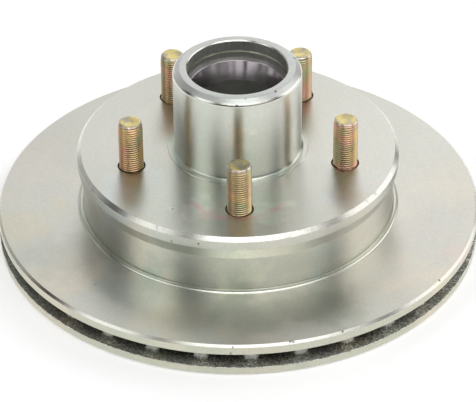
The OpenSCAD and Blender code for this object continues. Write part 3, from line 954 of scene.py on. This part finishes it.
def cut_thread(graph, given, turns):
    """A screw thread that runs in at the bottom and out at the chamfered tip."""
    rows = turns * THREAD_ROWS
    first_crest_cut, run_in_height, run_out_height, end_tuck = 0.28 * MM, 1.0 * MM, 0.3 * MM, 0.4 * MM
    grid, u, v = grid_position(graph, THREAD_SIDES + 1, rows + 1)
    row = graph.math("MULTIPLY", v, float(rows))
    lift = graph.math("SUBTRACT", graph.math("ADD", graph.math("DIVIDE", row, float(THREAD_ROWS)), u), 1.0)
    height = graph.math("MULTIPLY_ADD", lift, given["Pitch"], given["Thread Start"])
    height = graph.math("MINIMUM", graph.math("MAXIMUM", height, given["Thread Start"]), given["Thread End"])
    phase = graph.math("FRACT", graph.math("DIVIDE", graph.math("ADD", row, 0.001), float(THREAD_ROWS)))
    flank = graph.math("ABSOLUTE", graph.math("MULTIPLY_ADD", phase, 2.0, -1.0))
    tooth = graph.steps(flank, 0.04, 0.96)
    to_tip = graph.math("SUBTRACT", given["Tip Height"], height)
    cone = graph.math("ADD", given["Tip Radius"], to_tip)
    worn_crest = graph.math("MULTIPLY", graph.steps(to_tip, 4.5 * MM, 0.5 * MM), first_crest_cut)
    crest = graph.math("MINIMUM", graph.math("SUBTRACT", given["Thread Radius"], worn_crest), cone)
    run_in = graph.steps(graph.math("SUBTRACT", height, given["Thread Start"]), 0.0, run_in_height)
    run_out = graph.steps(graph.math("SUBTRACT", given["Thread End"], height), 0.0, run_out_height)
    depth = graph.math("MULTIPLY", graph.math("SUBTRACT", crest, given["Root Radius"]), tooth)
    depth = graph.math("MULTIPLY", depth, run_in)
    inner = graph.math("MULTIPLY_ADD", run_out, end_tuck,
                       graph.math("SUBTRACT", given["Root Radius"], end_tuck))
    radius = graph.math("MULTIPLY_ADD", depth, run_out, inner)
    return place_round(graph, grid, radius, graph.math("MULTIPLY", u, TURN), height)


def pressed_knurl(graph, given, teeth):
    """A knurl in three bands of faces: its side, its lead-in cone, and the flat that closes it."""
    bands, lead_in, closing_in = 3, 0.6 * MM, 1.0 * MM
    grid, u, v = grid_position(graph, TOOTH_COLUMNS * teeth + 1, bands + 1)
    angle = graph.math("MULTIPLY", u, TURN)
    ripple = graph.math("COSINE", graph.math("MULTIPLY", angle, given["Knurl Teeth"]))
    ripple = graph.math("MULTIPLY_ADD", ripple, 0.5, -0.5)
    along = graph.math("MULTIPLY", v, float(bands))
    side = graph.math("MULTIPLY", v, float(bands), clamp=True)
    lead = graph.math("SUBTRACT", along, 1.0, clamp=True)
    closing = graph.math("SUBTRACT", along, 2.0, clamp=True)
    radius = graph.math("MULTIPLY_ADD", ripple, given["Tooth Height"], given["Knurl Radius"])
    radius = graph.math("SUBTRACT", radius, graph.math("MULTIPLY", lead, lead_in))
    radius = graph.math("SUBTRACT", radius, graph.math("MULTIPLY", closing, closing_in))
    shoulder = graph.math("SUBTRACT", given["Knurl End"], given["Lead"])
    height = graph.math("MULTIPLY_ADD", graph.math("SUBTRACT", shoulder, given["Knurl Start"]), side,
                        given["Knurl Start"])
    height = graph.math("MULTIPLY_ADD", lead, given["Lead"], height)
    return place_round(graph, grid, radius, angle, height)


def stud_tree(turns, teeth):
    """Adds a cut thread and a pressed-in knurl to a turned stud, and sets it in its place."""
    graph, given, out = node_group("Threaded stud", "GeometryNodeTree", [
        ("Blank", "Geometry"), ("Thread Radius", "Float", 0.00635), ("Root Radius", "Float", 0.00556),
        ("Tip Radius", "Float", 0.00525), ("Pitch", "Float", 0.00127), ("Thread Start", "Float", 0.05),
        ("Thread End", "Float", 0.0772), ("Tip Height", "Float", 0.078), ("Knurl Radius", "Float", 0.0071),
        ("Knurl Teeth", "Int", 36), ("Knurl Start", "Float", 0.04), ("Knurl End", "Float", 0.0496),
        ("Tooth Height", "Float", 0.00045), ("Lead", "Float", 0.0024), ("Turn", "Float", 0.0),
        ("Place", "Vector"), ("Material", "Material")], [("Geometry", "Geometry")])
    thread = cut_thread(graph, given, turns)
    knurl = pressed_knurl(graph, given, teeth)
    smooth = graph.node("GeometryNodeSetShadeSmooth", {"Geometry": knurl, "Shade Smooth": False})
    parts = graph.node("GeometryNodeJoinGeometry")
    for part in (smooth.outputs["Geometry"], thread, given["Blank"]):
        graph.tree.links.new(part, parts.inputs["Geometry"])
    turned = graph.node("FunctionNodeAxisAngleToRotation", {"Axis": (0, 0, 1), "Angle": given["Turn"]})
    placed = graph.node("GeometryNodeTransform", {
        "Geometry": parts.outputs["Geometry"], "Translation": given["Place"],
        "Rotation": turned.outputs["Rotation"]}).outputs["Geometry"]
    whole = graph.node("GeometryNodeRealizeInstances", {"Geometry": placed}).outputs["Geometry"]
    graph.feed(out["Geometry"], graph.node("GeometryNodeSetMaterial", {
        "Geometry": whole, "Material": given["Material"]}).outputs["Geometry"])
    return graph.tree


def grown(name, tree, values, base=None):
    """Runs a Geometry Nodes tree on a mesh and returns the result as a plain mesh."""
    holder = bpy.data.objects.new(name, base or bpy.data.meshes.new(name))
    bpy.context.scene.collection.objects.link(holder)
    modifier = holder.modifiers.new(name, "NODES")
    modifier.node_group = tree
    for item in tree.interface.items_tree:
        if item.item_type == "SOCKET" and item.in_out == "INPUT" and item.name in values:
            modifier[item.identifier] = values[item.name]
    depsgraph = bpy.context.evaluated_depsgraph_get()
    mesh = bpy.data.meshes.new_from_object(holder.evaluated_get(depsgraph), depsgraph=depsgraph)
    bpy.data.objects.remove(holder)
    if not mesh.polygons:
        raise RuntimeError(f"{name}: the node tree made nothing")
    return mesh


# Pieces

def finished_piece(name, mesh, materials, nodes, sharp=35):
    """Puts a mesh in the scene as a piece that rides on the frame and stands for its nodes.

    Edges that turn by more than the sharp angle, in degrees, are shaded as corners."""
    if not mesh.materials:
        for material in materials:
            mesh.materials.append(material)
    mesh.set_sharp_from_angle(angle=math.radians(sharp))
    piece = bpy.data.objects.new(name, mesh)
    bpy.context.scene.collection.objects.link(piece)
    weighted = piece.modifiers.new("Even shading", "WEIGHTED_NORMAL")
    weighted.keep_sharp = True
    depsgraph = bpy.context.evaluated_depsgraph_get()
    shaded = bpy.data.meshes.new_from_object(piece.evaluated_get(depsgraph), preserve_all_data_layers=True,
                                             depsgraph=depsgraph)
    piece.modifiers.remove(weighted)
    piece.data = shaded
    shaded.name = name
    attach(piece, "root")
    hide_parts(*nodes)
    return piece


def stud_places(studs):
    """Centre and turn of each stud, the first one on -Y."""
    radius = studs.circle / 2
    for i in range(studs.count):
        angle = -math.pi / 2 + TURN * i / studs.count
        yield i + 1, Vector((radius * math.cos(angle), radius * math.sin(angle), 0.0)), angle


HOLE_SEGMENTS = 64
HOLE_BREAK = 0.1


def hole_rings(bm, centre, levels):
    """A round hole through the flange: its rings from the top down, joined by its wall."""
    rings = []
    for radius, height, _ in levels:
        rings.append([bm.verts.new(((centre.x + radius * math.cos(a)) * MM,
                                    (centre.y + radius * math.sin(a)) * MM, height * MM))
                      for a in (TURN * j / HOLE_SEGMENTS for j in range(HOLE_SEGMENTS))])
    for upper, lower, (_, _, finish) in zip(rings, rings[1:], levels):
        for j in range(HOLE_SEGMENTS):
            k = (j + 1) % HOLE_SEGMENTS
            face = bm.faces.new((upper[j], upper[k], lower[k], lower[j]))
            face.material_index = finish
            face.smooth = True
    return rings


def turn_body(bm, s, studs, cups):
    """The turned body, with the stud holes through its flange."""
    _, _, face_z, flange_z, _ = heights(s)
    hole_r = studs.hole / 2
    outline = body_outline(s, cups)
    rings = lathe(bm, outline, s.segments)
    levels = ((hole_r + HOLE_BREAK, face_z, BRIGHT), (hole_r, face_z - HOLE_BREAK, BORED),
              (hole_r, flange_z, BORED))
    holes = [hole_rings(bm, centre, levels) for _, centre, _ in stud_places(studs)]
    for i, (_, z, finish) in enumerate(outline):
        if finish != OPEN:
            continue
        if abs(z - face_z) < 0.01:
            fill_between(bm, [rings[i], rings[i + 1], *(hole[0] for hole in holes)], TURNED, 1)
        else:
            fill_between(bm, [rings[i], rings[i + 1], *(hole[-1] for hole in holes)], CAST, -1)


def turn_plate(bm, s):
    """The inboard plate, three times as fine round the axis as the body, with grain near its rim."""
    outline = plate_outline(s)
    rings = lathe(bm, outline, s.segments * 3)
    inner_r = s.disc_diameter / 2 - GRAIN_STEP * (GRAIN_ROWS + 1)
    grainy = [vertex for (r, z, _), ring in zip(outline, rings)
              if z > s.inboard_plate - 0.3 and r > inner_r for vertex in ring]
    roughen(grainy, s.cast_relief * MM)


def grow_vanes(bm, s):
    """The cast vanes between the plates, with their ends closed."""
    first_vane, root_inset = math.radians(-90 + 2.2), 2.5
    vanes = grown("cooling_vanes", vane_tree(), {
        "Vanes": s.vane_count, "First Angle": first_vane,
        "Root Radius": (s.inboard_bore / 2 + root_inset) * MM,
        "Tip Radius": (s.disc_diameter / 2 - s.vane_setback) * MM, "Width": s.vane_width * MM,
        "Fillet": s.vane_fillet * MM, "Low": s.inboard_plate * MM, "Gap": s.vent_gap * MM,
        "Relief": s.cast_relief * MM * 2})
    first_face = len(bm.faces)
    bm.from_mesh(vanes)
    bmesh.ops.holes_fill(bm, edges=[edge for edge in bm.edges if edge.is_boundary], sides=0)
    bm.faces.ensure_lookup_table()
    for face in bm.faces[first_face:]:
        face.material_index = CAST


def casting_finishes(colours):
    """Finishes of the casting, in the order that TURNED to RIM count them."""
    return [
        plated_finish("turned_zinc", colours, colours.zinc, roughness=0.31, stretch=0.7, groove=0.55,
                      relief=0.008),
        plated_finish("bright_edges", colours, colours.edges, roughness=0.24, stretch=0.5, groove=0.35,
                      relief=0.003, worn=0.4),
        plated_finish("bored_walls", colours, colours.bored, roughness=0.40, stretch=0.6, groove=0.45,
                      relief=0.026, worn=0.3, chatter=0.09, nicks=()),
        cast_finish(colours),
        plated_finish("faced_end", colours, colours.faced, roughness=0.44, stretch=0.4, groove=0.30,
                      relief=0.016, worn=0.15),
        plated_finish("turned_rims", colours, colours.rims, roughness=0.34, stretch=0.7, groove=0.55,
                      relief=0.008),
    ]


class HUBROTOR_OT_casting(bpy.types.Operator):
    """Build the hub and brake disc, cast in one piece and turned"""
    bl_idname = "hubrotor.casting"
    bl_label = "Build the casting"

    def execute(self, context):
        scene = context.scene
        s = Millimetres(scene.hub_rotor_sizes)
        bm = bmesh.new()
        turn_body(bm, s, Millimetres(scene.wheel_stud_sizes), Millimetres(scene.bearing_cup_sizes))
        turn_plate(bm, s)
        grow_vanes(bm, s)
        mesh = finished_mesh(bm, "hub_casting")
        finished_piece("hub_casting", mesh, casting_finishes(scene.finish_colours),
                       ["hub_rotor"])
        return {"FINISHED"}


CUP_SEGMENTS = 192
CUP_BEVEL = 0.5
RACE_SLOPE = math.tan(math.radians(13.9))
GROUND, RACE = 0, 1


def cup_outline(radius, width, face_width):
    """Outline of a bearing cup from its thick end up, with its race widening upwards."""
    race_r = radius - face_width
    small_r = race_r - width * RACE_SLOPE
    return soften([
        (small_r, 0, 0.25, GROUND), (radius - CUP_BEVEL, 0, 0.15, GROUND), (radius, CUP_BEVEL, 0.15, GROUND),
        (radius, width - CUP_BEVEL, 0.15, GROUND), (radius - CUP_BEVEL, width, 0.15, GROUND),
        (race_r, width, 0.2, RACE),
    ])


def turned_over(outline):
    """An outline upside down, still anticlockwise, with the finish of each face kept."""
    points = [(r, -z) for r, z, _ in reversed(outline)]
    finishes = [finish for _, _, finish in reversed(outline)]
    return [(*point, finishes[(i + 1) % len(finishes)]) for i, point in enumerate(points)]


class HUBROTOR_OT_bearing_cups(bpy.types.Operator):
    """Build the outer rings of the two tapered bearings"""
    bl_idname = "hubrotor.bearing_cups"
    bl_label = "Build the bearing cups"

    def execute(self, context):
        scene = context.scene
        cups = Millimetres(scene.bearing_cup_sizes)
        end_z = heights(Millimetres(scene.hub_rotor_sizes))[-1]
        colours = scene.finish_colours
        finishes = [steel_finish("ground_steel", colours, roughness=0.34, brightness=0.95),
                    steel_finish("polished_race", colours, roughness=0.14, brightness=1.02, pits=RACE_PITS)]
        outer = cup_outline(cups.outer_diameter / 2, cups.outer_width, cups.face_width)
        inner = turned_over(cup_outline(cups.inner_diameter / 2, cups.inner_width, cups.face_width))
        for name, outline, seat in (("outer_bearing_cup", outer, end_z - cups.outer_depth),
                                    ("inner_bearing_cup", inner, cups.inner_seat)):
            seated = [(r, seat + z, finish) for r, z, finish in outline]
            mesh = turned_mesh(name, seated, CUP_SEGMENTS)
            finished_piece(name + "_ground", mesh, finishes, [name])
        return {"FINISHED"}


BLANK_SEGMENTS = 64
HEAD_HEIGHT = 4.6
# Depth of a cut inch thread as a share of its pitch
THREAD_DEPTH = 0.613
THREAD_STAGGER = 1.3
STUD_SHARP = 75


def blank_outline(studs, flange_z, tip_z, root_r, tip_r):
    """Outline of a stud without its thread and knurl: the head, the shank inside them and the dished tip."""
    head_r, head_z = studs.head / 2, flange_z - HEAD_HEIGHT
    return soften([
        (0, head_z + 0.3, 0, 0), (5.0, head_z + 0.3, 0.5, 0), (6.2, head_z, 0.5, 0),
        (head_r - 0.8, head_z, 0.3, 0), (head_r, head_z + 0.8, 0.3, 0), (head_r, flange_z, 0.25, 0),
        (root_r - 0.1, flange_z, 0, 0), (root_r - 0.1, tip_z - 0.9, 0, 0),
        (tip_r + 0.68, tip_z - 0.72, 0.1, 0), (tip_r, tip_z, 0.3, 0), (4.2, tip_z, 1.0, 0),
        (1.6, tip_z - 0.22, 1.0, 0), (0, tip_z - 0.24, 0, 0),
    ])


class HUBROTOR_OT_wheel_studs(bpy.types.Operator):
    """Build the pressed wheel studs with their threads and knurls"""
    bl_idname = "hubrotor.wheel_studs"
    bl_label = "Build the wheel studs"

    def execute(self, context):
        scene = context.scene
        studs = Millimetres(scene.wheel_stud_sizes)
        _, _, face_z, flange_z, _ = heights(Millimetres(scene.hub_rotor_sizes))
        tip_z = face_z + studs.reach
        thread_r = studs.diameter / 2
        root_r, tip_r = thread_r - THREAD_DEPTH * studs.pitch, thread_r - 1.0
        start_z, end_z = face_z - 1.1, tip_z - 0.55
        finish = stud_finish(scene.finish_colours, studs, root_r, tip_z)
        tree = stud_tree(math.ceil((end_z - start_z) / studs.pitch) + 1, studs.knurl_teeth)
        outline = blank_outline(studs, flange_z, tip_z, root_r, tip_r)
        for number, centre, angle in stud_places(studs):
            # Studs are pressed in at any turn, so each thread starts at a place of its own
            turn = angle + number * THREAD_STAGGER
            mesh = grown("stud", tree, {
                "Thread Radius": thread_r * MM, "Root Radius": root_r * MM, "Tip Radius": tip_r * MM,
                "Pitch": studs.pitch * MM, "Thread Start": start_z * MM, "Thread End": end_z * MM,
                "Tip Height": tip_z * MM, "Knurl Radius": (studs.hole / 2 - PRESS_ROOM) * MM,
                "Knurl Teeth": studs.knurl_teeth, "Knurl Start": (flange_z - 0.2) * MM,
                "Knurl End": (face_z - 0.5) * MM, "Turn": turn, "Place": centre * MM,
                "Material": finish}, turned_mesh("stud_blank", outline, BLANK_SEGMENTS))
            finished_piece(f"threaded_stud_{number}", mesh, [finish],
                           [f"wheel_stud_{number}"], STUD_SHARP)
        return {"FINISHED"}


# Studio

# Camera, from a fit to the photographed circles: places and lens in millimetres, angles in degrees
CAMERA_PLACE = (-11.1, -1061.3, 764.9)
CAMERA_AIM = (-0.15, 0.0, 15.45)
CAMERA_ROLL = -0.429
CAMERA_LENS, SENSOR_WIDTH = 187.8, 36.0
CAMERA_HEADING = -90.6

# Soft boxes: heading from the camera's own, half width, lowest and highest point and feather in degrees,
# then strength
SOFT_BOXES = (
    (21, 56, 47, 80, 11, 2.32),
    (41, 24, 21, 43, 8, 0.63),
    (108, 26, -5, 54, 6, 1.33),
    (171, 19, 1, 47, 7, 1.15),
    (-65, 18, 10, 53, 10, 1.25),
    (-96, 20, 39, 76, 8, 0.44),
    (-128, 24, -4, 36, 8, 0.41),
    (-154, 12, 47, 80, 8, 1.40),
    (-154, 11, 6, 37, 7, 0.62),
)
# Light from everywhere, and light from straight above with where it starts and is full, in degrees
SURROUNDINGS = 0.005
CEILING, CEILING_EDGE, CEILING_FULL = 0.9, 70.0, 88.0
# The floor's radius and its place just under the disc, in metres, and its own light where it is seen
FLOOR_RADIUS, FLOOR_HEIGHT, FLOOR_GLOW = 4.0, -0.2 * MM, 0.36


@once
def soft_box():
    """Mask of one soft box, seen from the object by heading and elevation in degrees."""
    graph, given, out = node_group(
        "Soft box", "ShaderNodeTree",
        [("Heading", "Float"), ("Elevation", "Float"), ("Centre", "Float"), ("Half Width", "Float"),
         ("Bottom", "Float"), ("Top", "Float"), ("Feather", "Float")], [("Mask", "Float")])
    away = graph.math("SUBTRACT", given["Heading"], given["Centre"])
    away = graph.math("ABSOLUTE", graph.math("WRAP", away, 180.0, -180.0))
    inside = graph.math("SUBTRACT", given["Half Width"], given["Feather"])
    beside = graph.steps(away, graph.math("ADD", given["Half Width"], given["Feather"]), inside)
    above = graph.steps(given["Elevation"], graph.math("SUBTRACT", given["Bottom"], given["Feather"]),
                        graph.math("ADD", given["Bottom"], given["Feather"]))
    below = graph.steps(given["Elevation"], graph.math("ADD", given["Top"], given["Feather"]),
                        graph.math("SUBTRACT", given["Top"], given["Feather"]))
    graph.feed(out["Mask"], graph.math("MULTIPLY", beside, graph.math("MULTIPLY", above, below)))
    return graph.tree


def studio_world(scene):
    """Soft boxes round the object; rays from the camera see a white backdrop instead."""
    world = bpy.data.worlds.new("Studio")
    scene.world = world
    world.use_nodes = True
    graph = Graph(world.node_tree)
    graph.tree.nodes.clear()
    x, y, z = graph.split(graph.node("ShaderNodeTexCoord").outputs["Generated"])
    degrees = 360 / TURN
    heading = graph.math("MULTIPLY", graph.math("ARCTAN2", y, x), degrees)
    heading = graph.math("SUBTRACT", heading, CAMERA_HEADING)
    elevation = graph.math("MULTIPLY", graph.math("ARCSINE", z), degrees)
    overhead = graph.steps(elevation, CEILING_EDGE, CEILING_FULL)
    light = graph.math("MULTIPLY_ADD", overhead, CEILING, SURROUNDINGS)
    for centre, half_width, bottom, top, feather, strength in SOFT_BOXES:
        mask = graph.group(soft_box(), {"Heading": heading, "Elevation": elevation, "Centre": float(centre),
                                        "Half Width": float(half_width), "Bottom": float(bottom),
                                        "Top": float(top), "Feather": float(feather)})["Mask"]
        light = graph.math("MULTIPLY_ADD", mask, strength, light)
    path = graph.node("ShaderNodeLightPath").outputs
    backdrop = graph.math("MAXIMUM", path["Is Camera Ray"], path["Is Transmission Ray"])
    studio = graph.node("ShaderNodeBackground", {"Color": (1, 1, 1), "Strength": light})
    white = graph.node("ShaderNodeBackground", {"Color": (1, 1, 1), "Strength": 1.0})
    both = graph.node("ShaderNodeMixShader", {0: backdrop, 1: studio.outputs[0], 2: white.outputs[0]})
    graph.node("ShaderNodeOutputWorld", {"Surface": both.outputs[0]})


def floor_finish(colour_of_floor):
    """Pale floor that keeps the object's shadow and is white elsewhere; under the disc its glow is left out,
    a painted shadow.
    """
    material = bpy.data.materials.new("pale_floor")
    material.use_nodes = True
    graph = Graph(material.node_tree)
    graph.tree.nodes.clear()
    path = graph.node("ShaderNodeLightPath").outputs
    seen = graph.math("MAXIMUM", graph.math("MAXIMUM", path["Is Camera Ray"], path["Is Glossy Ray"]),
                      path["Is Transmission Ray"])
    paint = graph.node("ShaderNodeBsdfDiffuse", {"Color": colour_of_floor})
    place = graph.node("ShaderNodeTexCoord").outputs["Object"]
    # Painted shadow: the floor's glow is left out under the disc
    outside_disc_shadow = graph.steps(graph.vector("LENGTH", place), 0.46 * DISC_DIAMETER, 0.51 * DISC_DIAMETER)
    strength = graph.math("MULTIPLY", graph.math("MULTIPLY", seen, outside_disc_shadow), FLOOR_GLOW)
    glow = graph.node("ShaderNodeEmission", {"Color": (1, 1, 1), "Strength": strength})
    both = graph.node("ShaderNodeAddShader", {0: paint.outputs[0], 1: glow.outputs[0]})
    graph.node("ShaderNodeOutputMaterial", {"Surface": both.outputs[0]})
    return material


def aim_camera(scene):
    """Puts the scene's camera where the photograph was taken from."""
    place, aim = Vector(CAMERA_PLACE) * MM, Vector(CAMERA_AIM) * MM
    forward = (aim - place).normalized()
    right = forward.cross(Vector((0, 0, 1))).normalized()
    right = Matrix.Rotation(-math.radians(CAMERA_ROLL), 3, forward) @ right
    upward = right.cross(forward)
    camera_data = bpy.data.cameras.new("Camera")
    camera_data.sensor_fit = "HORIZONTAL"
    camera_data.sensor_width = SENSOR_WIDTH
    camera_data.lens = CAMERA_LENS
    camera_data.clip_start = 0.05
    camera = bpy.data.objects.new("Camera", camera_data)
    turn = Matrix((right, upward, -forward)).transposed().to_4x4()
    camera.matrix_world = Matrix.Translation(place) @ turn
    scene.collection.objects.link(camera)
    scene.camera = camera


def lay_floor(scene):
    """Lays a plain round floor under the object."""
    bm = bmesh.new()
    bmesh.ops.create_circle(bm, cap_ends=True, segments=96, radius=FLOOR_RADIUS)
    for vertex in bm.verts:
        vertex.co.z = FLOOR_HEIGHT
    mesh = finished_mesh(bm, "floor")
    mesh.materials.append(floor_finish(scene.finish_colours.floor))
    floor = bpy.data.objects.new("floor", mesh)
    scene.collection.objects.link(floor)


class HUBROTOR_OT_studio(bpy.types.Operator):
    """Set up the camera, the floor and the soft studio light"""
    bl_idname = "hubrotor.studio"
    bl_label = "Set up the studio"

    def execute(self, context):
        scene = context.scene
        scene.view_settings.view_transform = "Standard"
        aim_camera(scene)
        lay_floor(scene)
        studio_world(scene)
        return {"FINISHED"}


class HUBROTOR_PT_panel(bpy.types.Panel):
    """Lists the pieces of the hub rotor, with their sizes and colours"""
    bl_label = "Hub rotor"
    bl_idname = "HUBROTOR_PT_panel"
    bl_space_type = "VIEW_3D"
    bl_region_type = "UI"
    bl_category = "Hub rotor"

    def draw(self, context):
        for operator in OPERATORS:
            self.layout.operator(operator.bl_idname)
        for settings in SETTINGS:
            box = self.layout.box()
            group = getattr(context.scene, settings)
            for name in group.__annotations__:
                box.prop(group, name)


SETTINGS = {
    "hub_rotor_sizes": HubRotorSizes,
    "bearing_cup_sizes": BearingCupSizes,
    "wheel_stud_sizes": WheelStudSizes,
    "finish_colours": FinishColours,
}
OPERATORS = (HUBROTOR_OT_studio, HUBROTOR_OT_casting, HUBROTOR_OT_bearing_cups, HUBROTOR_OT_wheel_studs)


def register():
    """Adds the settings, the operators and the panel."""
    for group in SETTINGS.values():
        bpy.utils.register_class(group)
    for name, group in SETTINGS.items():
        setattr(bpy.types.Scene, name, PointerProperty(type=group))
    for kind in (*OPERATORS, HUBROTOR_PT_panel):
        bpy.utils.register_class(kind)


def unregister():
    """Takes the panel, the operators and the settings away again."""
    for kind in (HUBROTOR_PT_panel, *reversed(OPERATORS)):
        bpy.utils.unregister_class(kind)
    for name, group in SETTINGS.items():
        delattr(bpy.types.Scene, name)
        bpy.utils.unregister_class(group)


def main():
    """Builds the whole scene."""
    register()
    bpy.ops.hubrotor.studio()
    bpy.ops.hubrotor.casting()
    bpy.ops.hubrotor.bearing_cups()
    bpy.ops.hubrotor.wheel_studs()


if __name__ == "__main__":
    main()
